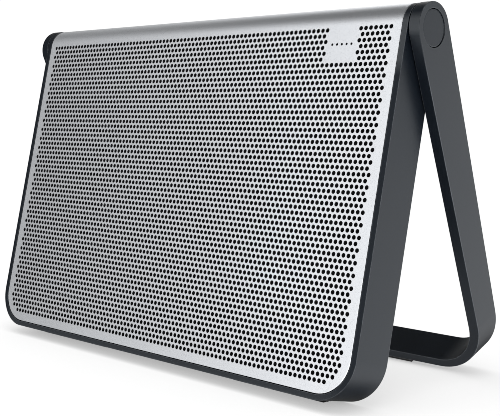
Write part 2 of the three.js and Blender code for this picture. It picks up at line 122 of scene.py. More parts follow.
def loft(rings):
    """closed solid through rings of equal length, each a list of (x, y, z)"""
    n = len(rings[0])
    verts = [p for ring in rings for p in ring]
    faces = [tuple(range(n)), tuple((len(rings) - 1) * n + i for i in reversed(range(n)))]
    for k in range(len(rings) - 1):
        low, high = k * n, (k + 1) * n
        for i in range(n):
            j = (i + 1) % n
            faces.append((low + i, low + j, high + j, high + i))
    return new_object("tmp", verts, faces)


def prism(outline, start, end, axis="y"):
    """outline of (x, z) drawn out along y, or of (y, z) along x"""
    if axis == "y":
        return loft([[(x, t, z) for x, z in outline] for t in (start, end)])
    return loft([[(t, y, z) for y, z in outline] for t in (start, end)])


def lathe(profile, seg, place):
    """profile of (radius, t); place(radius, angle, t) gives the point.
    The profile ends on the axis or closes on itself."""
    closed = math.dist(profile[0], profile[-1]) < 1e-9
    stops = profile[:-1] if closed else profile
    verts, rows = [], []
    for r, t in stops:
        if r < 1e-9:
            rows.append([len(verts)] * seg)
            verts.append(place(0, 0, t))
        else:
            rows.append([len(verts) + k for k in range(seg)])
            verts += [place(r, 2 * math.pi * k / seg, t) for k in range(seg)]
    faces = []
    count = len(stops)
    for i in range(count if closed else count - 1):
        row, following = rows[i], rows[(i + 1) % count]
        for k in range(seg):
            j = (k + 1) % seg
            quad = [row[k], row[j], following[j], following[k]]
            face = [v for c, v in enumerate(quad) if v != quad[c - 1]]
            if len(set(face)) > 2:
                faces.append(tuple(face))
    return new_object("tmp", verts, faces)


def lathe_y(profile, x, z, seg):
    return lathe(profile, seg, lambda r, a, t: (x + r * math.cos(a), t, z + r * math.sin(a)))


def lathe_x(profile, seg):
    return lathe(profile, seg, lambda r, a, t: (t, r * math.cos(a), r * math.sin(a)))


def rod(radius, start, end):
    """lathe profile of a plain cylinder"""
    return [(0, start), (radius, start), (radius, end), (0, end)]


def block(x0, x1, y0, y1, z0, z1):
    return prism([(x0, z0), (x1, z0), (x1, z1), (x0, z1)], y0, y1)


def bar(x, z, half_x, half_z, y0, y1):
    """block centred on (x, z)"""
    return block(x - half_x, x + half_x, y0, y1, z - half_z, z + half_z)


def apply_modifiers(obj):
    graph = bpy.context.evaluated_depsgraph_get()
    mesh = bpy.data.meshes.new_from_object(obj.evaluated_get(graph), depsgraph=graph)
    old = obj.data
    obj.modifiers.clear()
    obj.data = mesh
    bpy.data.meshes.remove(old)
    return obj


def cut(piece, tool, operation="DIFFERENCE"):
    boolean = piece.modifiers.new("c", "BOOLEAN")
    boolean.object, boolean.operation = tool, operation
    boolean.solver = "MANIFOLD"
    apply_modifiers(piece)
    if len(piece.data.polygons) == 0:
        raise RuntimeError("a cut left nothing")
    bpy.data.objects.remove(tool)
    return piece


def join(piece, tool):
    return cut(piece, tool, "UNION")


def common(piece, tool):
    return cut(piece, tool, "INTERSECT")


def arc(cx, cy, radius, start, end, steps):
    angles = [start + (end - start) * i / steps for i in range(steps + 1)]
    return [(cx + radius * math.cos(a), cy + radius * math.sin(a)) for a in angles]


def rounded(half, z0, z1, radius, upper=0, steps=28):
    """counter-clockwise outline from -half to half; upper 0 leaves the top corners square"""
    quarter = math.pi / 2
    points = arc(-half + radius, z0 + radius, radius, 2 * quarter, 3 * quarter, steps)
    points += arc(half - radius, z0 + radius, radius, 3 * quarter, 4 * quarter, steps)
    if upper > 0:
        points += arc(half - upper, z1 - upper, upper, 0, quarter, steps)
        points += arc(-half + upper, z1 - upper, upper, quarter, 2 * quarter, steps)
    else:
        points += [(half, z1), (-half, z1)]
    return points


def bevel(piece, width, segments, highlight_slot=False):
    """rounds the sharp edges, in millimetres; highlight_slot gives the roundings a second slot,
    for a painted edge highlight
    """
    if highlight_slot:
        piece.data.materials.clear()
        piece.data.materials.append(None)
        piece.data.materials.append(None)
    bm = bmesh.new()
    bm.from_mesh(piece.data)
    bmesh.ops.dissolve_limit(bm, angle_limit=math.radians(0.05), verts=bm.verts, edges=bm.edges,
                             delimit={"NORMAL"})
    bm.to_mesh(piece.data)
    bm.free()
    mod = piece.modifiers.new("b", "BEVEL")
    mod.width, mod.segments = width, segments
    mod.limit_method, mod.angle_limit = "ANGLE", math.radians(32)
    mod.use_clamp_overlap = True
    mod.miter_outer = "MITER_ARC"
    mod.harden_normals = False
    if highlight_slot:
        mod.material = 1
    apply_modifiers(piece)


def settle(piece, name, place, body, node, material, sharp=38, edge=None):
    """puts a finished piece in the row frame and gives it its body, node, slot and finish"""
    mesh = piece.data
    piece.name = name
    mesh.name = name
    mesh.transform(place)
    bm = bmesh.new()
    bm.from_mesh(mesh)
    bmesh.ops.remove_doubles(bm, verts=bm.verts, dist=2e-8)
    bmesh.ops.dissolve_degenerate(bm, edges=bm.edges, dist=2e-8)
    bm.to_mesh(mesh)
    bm.free()
    mesh.polygons.foreach_set("use_smooth", [True] * len(mesh.polygons))
    mesh.set_sharp_from_angle(angle=math.radians(sharp))
    # read before the slots are cleared, which resets the indices
    indices = [min(p.material_index, 1) for p in mesh.polygons]
    mesh.materials.clear()
    mesh.materials.append(material)
    # second slot: the painted edge highlight on the roundings
    if edge:
        mesh.materials.append(edge)
        mesh.polygons.foreach_set("material_index", indices)
    mod = piece.modifiers.new("normals", "WEIGHTED_NORMAL")
    mod.keep_sharp, mod.weight, mod.mode = True, 70, "FACE_AREA"
    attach(piece, body)
    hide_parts(node)
    return piece


# ------------------------------------------------------------------ shader helpers
FALLING = (1.0, 0.0)


class Nodes:
    """an emptied node tree with an output; most helpers add a node and return its socket"""

    def __init__(self, owner, output):
        owner.use_nodes = True
        self.tree = owner.node_tree
        self.tree.nodes.clear()
        self.surface = self.add(output).inputs["Surface"]

    def add(self, kind, **settings):
        node = self.tree.nodes.new("ShaderNode" + kind)
        for key, value in settings.items():
            setattr(node, key, value)
        return node

    def feed(self, socket, value):
        """links a socket, or sets a number, vector or (r, g, b)"""
        if hasattr(value, "is_linked"):
            self.tree.links.new(value, socket)
        else:
            socket.default_value = (*value, 1.0) if socket.type == "RGBA" else value

    def put(self, node, **values):
        """feeds inputs by name, base_color for Base Color, and returns the node"""
        for key, value in values.items():
            name = key.replace("_", " ").title().replace("Ior", "IOR")
            self.feed(node.inputs[name], value)
        return node

    def split(self, vector):
        return self.put(self.add("SeparateXYZ"), vector=vector).outputs

    def span(self, value, to=(0.0, 1.0), over=(0.0, 1.0)):
        """value mapped from the range over to the range to, clamped"""
        return self.put(self.add("MapRange"), value=value, from_min=over[0], from_max=over[1],
                        to_min=to[0], to_max=to[1]).outputs[0]

    def calc(self, operation, first, second=0.0, *third):
        node = self.add("Math", operation=operation)
        for i, value in enumerate((first, second, *third)):
            self.feed(node.inputs[i], value)
        return node.outputs[0]

    def mix_shaders(self, fac, first, second):
        node = self.add("MixShader")
        for i, value in enumerate((fac, first, second)):
            self.feed(node.inputs[i], value)
        return node.outputs[0]


class Material(Nodes):
    def __init__(self, name, principled=True):
        self.block = bpy.data.materials.new(name)
        super().__init__(self.block, "OutputMaterial")
        if principled:
            self.bsdf = self.add("BsdfPrincipled")
            self.feed(self.surface, self.bsdf.outputs[0])
        coordinates = self.add("TexCoord").outputs
        self.place, self.normal = coordinates["Object"], coordinates["Normal"]

    def noise(self, scale, detail=3.0, rough=0.55, stretch=None):
        node = self.add("TexNoise")
        vector = self.place
        if stretch:
            vector = self.put(self.add("Mapping"), scale=stretch, vector=vector).outputs[0]
        self.put(node, scale=scale, detail=detail, roughness=rough, vector=vector)
        return node.outputs["Fac"]

    def mix(self, fac, first, second):
        node = self.add("Mix", data_type="RGBA")
        for i, value in ((0, fac), (6, first), (7, second)):
            self.feed(node.inputs[i], value)
        return node.outputs[2]

    def mottle(self, fac, first, second):
        """two colours by a noise, with its contrast raised"""
        return self.mix(self.span(fac, over=(0.3, 0.7)), first, second)

    def bump(self, height, distance, strength):
        return self.put(self.add("Bump"), strength=strength, distance=distance,
                        height=height).outputs[0]

    def edges(self, radius=0.0005):
        """0 on faces, 1 along edges, from how far the rounded normal leans away"""
        geometry = self.add("NewGeometry")
        rounding = self.put(self.add("Bevel", samples=4), radius=radius)
        dot = self.add("VectorMath", operation="DOT_PRODUCT")
        self.feed(dot.inputs[0], rounding.outputs[0])
        self.feed(dot.inputs[1], geometry.outputs["Normal"])
        return self.span(dot.outputs["Value"], over=(0.995, 0.9))

    def finish(self, **values):
        self.put(self.bsdf, **values)
        return self.block


# ------------------------------------------------------------------ materials
def satin_aluminium():
    mat = Material("satin_aluminium")
    blast = mat.noise(scale=5200, detail=2, rough=0.6)
    cloud = mat.noise(scale=22, detail=3)
    pit = mat.noise(scale=1500, detail=3, rough=0.7)
    colour = mat.mottle(cloud, (0.745, 0.767, 0.805), (0.765, 0.787, 0.825))
    pitted = mat.span(pit, to=(0, 0.35), over=(0.52, 0.72))
    colour = mat.mix(pitted, colour, (0.62, 0.635, 0.665))
    grain = mat.noise(scale=1900, detail=2, rough=0.6)
    for over, tint in (((0.32, 0.5), (0.91, 0.93, 0.955)), ((0.5, 0.68), (0.54, 0.56, 0.595))):
        colour = mat.mix(mat.span(grain, to=(0.0, 0.55), over=over), colour, tint)
    rough = mat.calc("ADD", mat.span(cloud, to=(0.293, 0.307)), mat.span(blast, to=(-0.04, 0.04)))
    return mat.finish(base_color=colour, metallic=1.0, roughness=rough,
                      normal=mat.bump(blast, distance=0.00002, strength=0.45))


def shaded_hole_wall():
    """the wall inside each hole of the front sheet, painted black as shade"""
    mat = Material("shaded_hole_wall")
    drag = mat.noise(scale=3000, detail=2, rough=0.5, stretch=(1.0, 6.0, 1.0))
    return mat.finish(base_color=mat.mix(drag, (0.004, 0.004, 0.005), (0.012, 0.012, 0.013)),
                      roughness=mat.span(drag, to=(0.6, 0.8)), specular_ior_level=0.2)


def dark_metal(name="dark_metal", level=0.195, dark=(0.0026, 0.0039, 0.0062),
               light=(0.0036, 0.0053, 0.0080), top=(0.134, 0.150), top_highlight=1.0, side=0.25, foot=0.0,
               top_shade=0.0):
    """level is the specular level. top_highlight, side and foot paint light onto the front at the
    heights top, onto the faces to the sides, and onto the front at the foot as a painted
    reflection of the floor; top_shade paints shade over everything near the top."""
    mat = Material(name)
    blast = mat.noise(scale=4200, detail=2, rough=0.6)
    cloud = mat.noise(scale=35, detail=4)
    scuff = mat.noise(scale=260, detail=5, rough=0.7)
    colour = mat.mottle(cloud, dark, light)
    x, _, z = mat.split(mat.place)
    facing_x, facing_y, facing_z = mat.split(mat.normal)
    upright = mat.calc("MULTIPLY", mat.span(facing_z, to=FALLING, over=(0.30, 0.60)),
                       mat.span(facing_z, over=(-0.45, -0.10)))
    front = mat.calc("MULTIPLY", mat.span(facing_y, to=FALLING, over=(-0.8, -0.4)), upright)
    across = mat.calc("ABSOLUTE", facing_x)
    # painted highlight: the faces to the sides are paler high up, by side
    beside = mat.span(across, to=(0.0, side), over=(0.8, 0.95))
    # painted highlight: high up, only the right half is paler
    high = mat.calc("MULTIPLY", mat.span(z, to=(0.0, top_highlight), over=top),
                    mat.span(x, over=(-0.05, 0.05)))
    # painted reflection of the floor: the front is paler at the foot, by foot
    low = mat.span(z, to=(foot, 0.0), over=(0.004, 0.012))
    pale = mat.calc("MULTIPLY", front, mat.calc("MAXIMUM", high, low))
    pale = mat.calc("MAXIMUM", pale, mat.calc("MULTIPLY", beside, mat.span(z, over=(0.09, 0.15))))
    # the colour of the painted light
    colour = mat.mix(pale, colour, (0.0225, 0.0245, 0.027))
    # painted shade: everything darker near the top, by top_shade
    painted_top_shade = mat.span(z, to=(0.0, top_shade), over=(0.128, 0.142))
    colour = mat.mix(painted_top_shade, colour, (0.0016, 0.0024, 0.0036))
    # wear along the edges, with a painted edge highlight on top of it
    wear_and_edge_highlight = mat.calc("MULTIPLY", mat.edges(), mat.span(scuff, to=(0.3, 0.75), over=(0.42, 0.62)))
    colour = mat.mix(mat.calc("MULTIPLY", wear_and_edge_highlight, 0.75), colour, (0.095, 0.101, 0.110))
    rough = mat.calc("ADD", mat.span(cloud, to=(0.36, 0.40)), mat.span(blast, to=(-0.03, 0.03)))
    # painted shade: the left rim and arm head get a lower specular level
    left = mat.calc("MULTIPLY", mat.span(x, to=FALLING, over=(-0.119, -0.112)),
                    mat.span(across, to=FALLING, over=(0.3, 0.8)))
    return mat.finish(base_color=colour, metallic=0.0, roughness=rough,
                      specular_ior_level=mat.span(left, to=(level, level * 0.35)),
                      specular_tint=(0.84, 0.92, 1.0),
                      normal=mat.bump(blast, distance=0.00002, strength=0.3))


def moulded(name, dark, light, rough, scale=1700.0, depth=0.00004):
    mat = Material(name)
    grain = mat.noise(scale=scale, detail=3, rough=0.65)
    cloud = mat.noise(scale=40, detail=3)
    colour = mat.mottle(cloud, dark, light)
    edge_colour = tuple(min(1, c * 2.2) for c in light)
    colour = mat.mix(mat.calc("MULTIPLY", mat.edges(), 0.35), colour, edge_colour)
    roughness = mat.calc("ADD", mat.span(cloud, to=rough), mat.span(grain, to=(-0.05, 0.05)))
    return mat.finish(base_color=colour, metallic=0.0, roughness=roughness,
                      normal=mat.bump(grain, distance=depth, strength=0.5))


def rubber():
    mat = Material("rubber")
    fine = mat.noise(scale=2600, detail=3, rough=0.7)
    dust = mat.noise(scale=120, detail=5, rough=0.7)
    dusty = mat.span(dust, to=(0, 0.4), over=(0.5, 0.8))
    return mat.finish(base_color=mat.mix(dusty, (0.010, 0.010, 0.011), (0.035, 0.034, 0.033)),
                      roughness=mat.span(fine, to=(0.72, 0.9)),
                      normal=mat.bump(fine, distance=0.00003, strength=0.6))


def steel(name, stretch):
    mat = Material(name)
    streak = mat.noise(scale=900, detail=2, rough=0.5, stretch=stretch)
    cloud = mat.noise(scale=60, detail=3)
    return mat.finish(base_color=mat.mottle(cloud, (0.50, 0.51, 0.52), (0.60, 0.61, 0.62)),
                      metallic=1.0, roughness=mat.span(streak, to=(0.22, 0.42)),
                      normal=mat.bump(streak, distance=0.00001, strength=0.3))


def blackened_steel():
    """blackened screw steel, rubbed bright along the edges"""
    mat = Material("blackened_steel")
    streak = mat.noise(scale=1100, detail=2, rough=0.5, stretch=(1.0, 14.0, 1.0))
    patches = mat.span(mat.noise(scale=700, detail=3), to=(0.2, 0.8), over=(0.4, 0.6))
    rubbed = mat.calc("MULTIPLY", mat.edges(radius=0.0002), patches)
    black = mat.mix(streak, (0.075, 0.077, 0.082), (0.120, 0.122, 0.128))
    return mat.finish(base_color=mat.mix(rubbed, black, (0.42, 0.42, 0.43)), metallic=1.0,
                      roughness=mat.span(streak, to=(0.30, 0.45)),
                      normal=mat.bump(streak, distance=0.00001, strength=0.3))


def mark_paint():
    """pale grey print on the keys"""
    mat = Material("mark_paint")
    speck = mat.noise(scale=3500, detail=3, rough=0.7)
    specks = mat.span(speck, over=(0.35, 0.7))
    return mat.finish(base_color=mat.mix(specks, (0.50, 0.51, 0.53), (0.62, 0.63, 0.65)),
                      roughness=mat.span(speck, to=(0.45, 0.6)),
                      normal=mat.bump(speck, distance=0.00001, strength=0.4))


def acoustic_cloth():
    """plain weave, warp and weft bulging in turn"""
    period = 0.00045
    mat = Material("acoustic_cloth")
    x, _, z = mat.split(mat.place)
    along, up = (mat.calc("SINE", mat.calc("MULTIPLY", way, 2 * math.pi / period))
                 for way in (x, z))
    weave = mat.calc("MULTIPLY", along, up)
    lint = mat.noise(scale=900, detail=4, rough=0.6)
    colour = mat.mix(mat.span(weave, over=(-1, 1)), (0.0012, 0.0012, 0.0014),
                     (0.0040, 0.0042, 0.0046))
    linty = mat.span(lint, to=(0, 0.3), over=(0.55, 0.8))
    return mat.finish(base_color=mat.mix(linty, colour, (0.006, 0.006, 0.0065)), roughness=0.95,
                      specular_ior_level=0.15, sheen_weight=0.05, sheen_roughness=0.5,
                      normal=mat.bump(weave, distance=0.00008, strength=0.7))


def clear_plastic():
    mat = Material("clear_plastic")
    haze = mat.noise(scale=500, detail=2)
    return mat.finish(base_color=mat.mix(haze, (0.72, 0.76, 0.78), (0.86, 0.89, 0.9)),
                      roughness=mat.span(haze, to=(0.18, 0.32)), transmission_weight=0.35,
                      ior=1.49)


def cone_pulp():
    mat = Material("cone_pulp")
    fibre = mat.noise(scale=1400, detail=5, rough=0.75)
    ripple = mat.noise(scale=300, detail=2)
    return mat.finish(base_color=mat.mix(fibre, (0.020, 0.020, 0.022), (0.050, 0.049, 0.048)),
                      roughness=mat.span(ripple, to=(0.6, 0.8)),
                      normal=mat.bump(fibre, distance=0.00008, strength=0.8))


def circuit_board():
    mat = Material("circuit_board")
    track = mat.add("TexVoronoi", distance="CHEBYCHEV", feature="DISTANCE_TO_EDGE")
    mat.put(track, scale=420, vector=mat.place)
    line = mat.span(track.outputs["Distance"], to=FALLING, over=(0.0, 0.12))
    mottled = mat.noise(scale=800, detail=2)
    return mat.finish(base_color=mat.mix(line, (0.008, 0.055, 0.028), (0.03, 0.13, 0.06)),
                      roughness=mat.span(mottled, to=(0.32, 0.5)), coat_weight=0.25,
                      normal=mat.bump(line, distance=0.00003, strength=0.5))


def battery_wrap():
    mat = Material("battery_wrap")
    crease = mat.noise(scale=180, detail=4, rough=0.6, stretch=(1.0, 1.0, 4.0))
    return mat.finish(base_color=mat.mix(crease, (0.015, 0.055, 0.16), (0.028, 0.085, 0.22)),
                      roughness=mat.span(crease, to=(0.28, 0.5)), coat_weight=0.3,
                      normal=mat.bump(crease, distance=0.0001, strength=0.4))


def copper():
    mat = Material("copper")
    tarnish = mat.noise(scale=400, detail=4)
    return mat.finish(base_color=mat.mix(tarnish, (0.62, 0.30, 0.17), (0.85, 0.48, 0.30)),
                      metallic=1.0, roughness=mat.span(tarnish, to=(0.25, 0.45)),
                      normal=mat.bump(tarnish, distance=0.00001, strength=0.4))


def wire(name, colour):
    mat = Material(name)
    fine = mat.noise(scale=900, detail=3)
    return mat.finish(base_color=mat.mix(fine, colour, tuple(c * 0.7 for c in colour)),
                      roughness=mat.span(fine, to=(0.4, 0.6)),
                      normal=mat.bump(fine, distance=0.00002, strength=0.3))


LOOK = {
    "silver_aluminium": satin_aluminium(),
    "shaded_hole_wall": shaded_hole_wall(),
    "dark_metal": dark_metal(),
    # painted light high up on the right front, and a painted reflection of the floor along the
    # foot of the front
    "surround_metal": dark_metal("surround_metal", level=0.178, top=(0.132, 0.138), side=0.0,
                                 foot=0.6),
    # painted highlight: a paler copy of the dark metal for the roundings of the stand, with
    # painted shade near the top
    "painted_edge_highlight": dark_metal("painted_edge_highlight", dark=(0.030, 0.033, 0.037), light=(0.038, 0.042, 0.047),
                             top_highlight=0.0, side=0.0, top_shade=1.0),
    "cap_metal": dark_metal("cap_metal", level=0.15, top_highlight=0.0),
    "shell": moulded("soft_touch_shell", (0.0085, 0.0095, 0.0110), (0.0120, 0.0132, 0.0150),
                     rough=(0.46, 0.54), scale=2600.0, depth=0.00003),
    "blackened": blackened_steel(),
    "paint": mark_paint(),
    "dark_plastic": moulded("dark_plastic", (0.020, 0.022, 0.025), (0.028, 0.031, 0.035),
                            rough=(0.5, 0.6)),
    "rubber": rubber(),
    "steel": steel("steel", stretch=(1.0, 14.0, 14.0)),
    "steel_turned": steel("steel_turned", stretch=(14.0, 1.0, 14.0)),
    "cloth": acoustic_cloth(),
    "clear_plastic": clear_plastic(),
    "cone": cone_pulp(),
    "board": circuit_board(),
    "battery_wrap": battery_wrap(),
    "copper": copper(),
    "bush_plastic": moulded("bush_plastic", (0.012, 0.012, 0.013), (0.02, 0.02, 0.021),
                            rough=(0.35, 0.45), scale=900, depth=0.00002),
    "wire_red": wire("wire_red", (0.40, 0.02, 0.015)),
    "wire_black": wire("wire_black", (0.015, 0.015, 0.016)),
}

# ------------------------------------------------------------------ perforated front sheet
# Drawn flat as (x, s), s running up the face, over the roll and down the back, then wrapped.
PITCH = 2.5
HOLE_ROWS, FIRST_ROW = 58, 0.65  # FIRST_ROW in pitches below the axis
LAST_ROWS = {57: 85, 56: 88}  # hole counts where the lower corners shorten the rows
HOLE_R, HOLE_SIDES = 0.99, 8  # the area of a 1.88 mm round hole
LIGHT_R, LIGHT_SIDES, LIGHT_Z = 0.56, 12, -7.9
LIGHT_COLUMN = 35  # pitches right of the middle
SHEET, EDGE_R = 0.9, 0.32  # thickness, and rounding of the outer edge
ROLL = math.pi * ROLL_R
STATIONS = [ROLL * k / 44 for k in range(45)]  # lines across the roll
CORNER_STEPS = 22


def sheet_holes():
    """(x, z, radius, sides) of the staggered holes and of the row of five light holes"""
    holes = []
    for row in range(HOLE_ROWS):
        z = -(row + FIRST_ROW) * PITCH
        even = row % 2 == 0
        count = LAST_ROWS.get(row, 90 if even else 89)
        for i in range(count):
            x = (-(count - 1) / 2 + i) * PITCH
            # a field around the light holes stays closed
            if row <= 5 and abs(x / PITCH - LIGHT_COLUMN) <= (2.5 if even else 3):
                continue
            holes.append((x, z, HOLE_R, HOLE_SIDES))
    lights = [((LIGHT_COLUMN + i) * PITCH, LIGHT_Z, LIGHT_R, LIGHT_SIDES) for i in range(-2, 3)]
    return holes + lights


def hole_angle(corner, sides):
    return 2 * math.pi * (corner + 0.5) / sides


def sheet_border(inset):
    x, r, upper = PANEL_W - inset, PANEL_CORNER - inset, 1.2 - inset
    low, high = PANEL_Z + inset, ROLL + SHEET_END - inset
    points = arc(-x + r, low + r, r, math.pi, 1.5 * math.pi, CORNER_STEPS)
    points += arc(x - r, low + r, r, 1.5 * math.pi, 2 * math.pi, CORNER_STEPS)
    points += [(x, s) for s in STATIONS]
    points += arc(x - upper, high - upper, upper, 0, math.pi / 2, 5)
    points += arc(-x + upper, high - upper, upper, math.pi / 2, math.pi, 5)
    return points + [(-x, s) for s in reversed(STATIONS)]


def flat_sheet():
    """the flat points, the triangles, and the point indices of each hole and of the border"""
    points, edges = [], []

    def add_loop(outline):
        first, count = len(points), len(outline)
        points.extend(outline)
        edges.extend((first + i, first + (i + 1) % count) for i in range(count))
        return range(first, first + count)

    loops = []
    for x, z, r, sides in sheet_holes():
        angles = [hole_angle(i, sides) for i in range(sides)]
        loops.append(add_loop([(x + r * math.cos(a), z + r * math.sin(a)) for a in angles]))
    border = add_loop(sheet_border(EDGE_R))
    # edges across the roll, so that the wrapped sheet follows the arc
    for k, s in enumerate(STATIONS):
        row = [border[-1 - k]]
        for i in range(1, 12):
            row.append(len(points))
            points.append((-PANEL_W + EDGE_R + (2 * PANEL_W - 2 * EDGE_R) * i / 12, s))
        row.append(border[2 * (CORNER_STEPS + 1) + k])
        edges += zip(row[:-1], row[1:])

    result = delaunay_2d_cdt([Vector(p) for p in points], edges, [], 1, 1e-6, True)
    flat = np.array([tuple(v) for v in result[0]], float)
    merged = {source: i for i, sources in enumerate(result[3]) for source in sources}
    holes = [[merged[i] for i in loop] for loop in loops]
    owner = np.full(len(flat), -1)
    for i, hole in enumerate(holes):
        owner[hole] = i
    tris = np.array(list(result[2]), int)
    own = owner[tris]
    in_hole = (own[:, 0] >= 0) & (own[:, 0] == own[:, 1]) & (own[:, 1] == own[:, 2])
    tris = tris[~in_hole]
    first, second, third = (flat[tris[:, i]] for i in range(3))
    along, across = second - first, third - first
    clockwise = along[:, 0] * across[:, 1] - along[:, 1] * across[:, 0] < 0
    tris[clockwise] = tris[clockwise][:, ::-1]
    return flat, tris, holes, [merged[i] for i in border]


def wrap(points, depth):
    """flat (x, s) laid over the slab at a depth under the outer face, with outward normals"""
    x, s = points[:, 0], points[:, 1]
    turn = np.clip(s / ROLL_R, 0, math.pi)
    r = ROLL_R - depth
    y = np.where(s <= 0, -r, np.where(s >= ROLL, r, -r * np.cos(turn)))
    z = np.where(s <= 0, s, np.where(s >= ROLL, ROLL - s, r * np.sin(turn)))
    normals = np.stack([np.zeros_like(x), -np.cos(turn), np.sin(turn)], 1)
    return np.stack([x, y, z], 1), normals


def front_sheet():
    flat, tris, holes, border = flat_sheet()
    count = len(flat)
    outer, outward = wrap(flat, 0.0)
    inner, _ = wrap(flat, SHEET)
    verts = [outer, inner]
    faces = [tuple(t) for t in tris.tolist()] + [tuple(t[::-1]) for t in (tris + count).tolist()]
    normals = [outward[tris].reshape(-1, 3), (-outward)[tris[:, ::-1]].reshape(-1, 3)]

    first_wall = len(faces)
    for hole in holes:
        sides = len(hole)
        for j in range(sides):
            p, q = hole[j], hole[(j + 1) % sides]
            faces.append((p, q, q + count, p + count))
            start, end = ((-math.cos(a), 0, -math.sin(a))
                          for a in (hole_angle(j, sides), hole_angle(j + 1, sides)))
            normals.append(np.array([start, end, end, start]))
    last_wall = len(faces)

    # rounded outer edge, straight side, chamfered inner edge
    around = len(border)
    inset, full = np.array(sheet_border(EDGE_R)), np.array(sheet_border(0.0))
    away = full - inset
    away /= np.linalg.norm(away, axis=1)[:, None]
    _, face_normal = wrap(inset, 0.0)
    turn = np.clip(inset[:, 1] / ROLL_R, 0, math.pi)
    zeros = np.zeros(around)
    up = np.stack([zeros, np.sin(turn), np.cos(turn)], 1)  # direction of growing s, wrapped
    lateral = np.stack([away[:, 0], zeros, zeros], 1) + up * away[:, 1][:, None]
    steps = []  # (share of the way out, depth, angle of the normal)
    for k in range(1, 5):
        a = math.radians(22.5 * k)
        steps.append((math.sin(a), EDGE_R * (1 - math.cos(a)), a))
    steps.append((1.0, SHEET - EDGE_R * 0.6, math.pi / 2))
    rings, ring_normals = [border], [face_normal]
    first = 2 * count
    for share, depth, a in steps:
        verts.append(wrap(inset + (full - inset) * share, depth)[0])
        rings.append([first + i for i in range(around)])
        first += around
        ring_normals.append(face_normal * math.cos(a) + lateral * math.sin(a))
    rings.append([i + count for i in border])
    ring_normals.append(lateral * 0.6 - face_normal * 0.8)
    for k in range(len(rings) - 1):
        for i in range(around):
            j = (i + 1) % around
            corners = ((k, i), (k + 1, i), (k + 1, j), (k, j))
            faces.append(tuple(rings[ring][c] for ring, c in corners))
            normals.append(np.array([ring_normals[ring][c] for ring, c in corners]))

    place = np.array(SLAB)
    verts = np.concatenate(verts) @ place[:3, :3].T + place[:3, 3]
    normals = np.concatenate(normals) @ (place[:3, :3] / MM).T
    normals /= np.linalg.norm(normals, axis=1)[:, None]
    sheet = new_object("front_grille_sheet", verts, faces, tidy=False)
    mesh = sheet.data
    mesh.polygons.foreach_set("use_smooth", [True] * len(mesh.polygons))
    mesh.normals_split_custom_set(normals.tolist())
    mesh.materials.append(LOOK["silver_aluminium"])
    # second slot: the hole walls, painted black as shade
    mesh.materials.append(LOOK["shaded_hole_wall"])
    index = np.zeros(len(faces), np.int32)
    index[first_wall:last_wall] = 1
    mesh.polygons.foreach_set("material_index", index)
    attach(sheet, "speaker")
    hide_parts("front_grille")


front_sheet()


# ------------------------------------------------------------------ dark surround of the slab
def foot_pocket(side, x, length, front, back, bottom):
    return block(side * x - length / 2 - GAP, side * x + length / 2 + GAP,
                 front - GAP, back + GAP, bottom - 2, bottom + 1.2)


def inner_band(y0, y1, top, width=3.5):
    """ledge inside the rim, let one millimetre into it"""
    band = prism(rounded(INNER_W + 1, INNER_Z - 1, top, INNER_CORNER), y0, y1)
    opening = rounded(INNER_W - width, INNER_Z + width, 60, INNER_CORNER - width)
    return cut(band, prism(opening, y0 - 1, y1 + 1))


def surround():
    body = prism(rounded(HALF_W, SLAB_BOTTOM, 30, CORNER_R), -ROLL_R, ROLL_R)
    side_view = [(-ROLL_R, SLAB_BOTTOM - 5), (ROLL_R, SLAB_BOTTOM - 5)]
    side_view += arc(0, 0, ROLL_R, 0, math.pi, 56)
    common(body, prism(side_view, -HALF_W - 5, HALF_W + 5, "x"))
    cut(body, prism(rounded(INNER_W, INNER_Z, 60, INNER_CORNER), -30, 30))
    join(body, inner_band(-8.4, -7.2, top=-10))
    join(body, inner_band(5.4, 7.0, top=-14))
    for side in SIDES.values():
        # hinge bore through the rim and a wider recess in its outer face
        for radius, start, seg in ((4.8, INNER_W - 3, 48), (8.2, HALF_W - 1.0, 64)):
            ends = sorted((side * start, side * (HALF_W + 3)))
            cut(body, lathe_x(rod(radius, *ends), seg))
        cut(body, foot_pocket(side, **SLAB_FOOT))
    bevel(body, 0.32, 3)
    settle(body, "slab_surround", SLAB, "speaker", "main_frame",
           LOOK["surround_metal"])


surround()


# ------------------------------------------------------------------ rear cover
def rear_cover():
    inside, outside = COVER_Y - 1, ROLL_R + 1  # the cutters reach past both faces
    seat = ROLL_R - 1.1  # under the screw heads
    outline = rounded(PANEL_W, PANEL_Z, -SHEET_END - GAP, PANEL_CORNER, upper=0.6)
    cover = prism(outline, COVER_Y, ROLL_R)
    screw_hole = [(0, inside), (1.7, inside), (1.7, seat), (3.0, seat), (3.0, outside),
                  (0, outside)]
    for x, z in SCREWS:
        cut(cover, lathe_y(screw_hole, x, z, 40))
    for _, x in BUTTONS:
        cut(cover, lathe_y(rod(4.3, inside, outside), x, BUTTON_Z, 56))
    cut(cover, block(PORT_X0, PORT_X1, inside, outside, PORT_Z0, PORT_Z1))
    bevel(cover, 0.22, 2)
    settle(cover, "rear_shell", SLAB, "speaker", "rear_cover", LOOK["shell"])


rear_cover()

# (radius, y) from the tip of the screw to the middle of its head
SCREW_PROFILE = [(0, 0.5), (0.9, 0.5), (1.2, 1.2), (1.2, 9.4), (2.55, 9.4), (2.7, 9.5),
                 (2.7, 9.75), (2.45, 9.97), (1.6, 10.06), (0, 10.08)]


def screw(number, x, z):
    body = lathe_y(SCREW_PROFILE, x, z, 32)
    for half_x, half_z in ((1.55, 0.27), (0.27, 1.55)):
        cut(body, bar(x, z, half_x, half_z, 9.45, 11))
    settle(body, f"cross_screw_{number}", SLAB, "speaker", f"rear_screw_{number}",
           LOOK["blackened"], 30)


for i, (x, z) in enumerate(SCREWS):
    screw(i + 1, x, z)


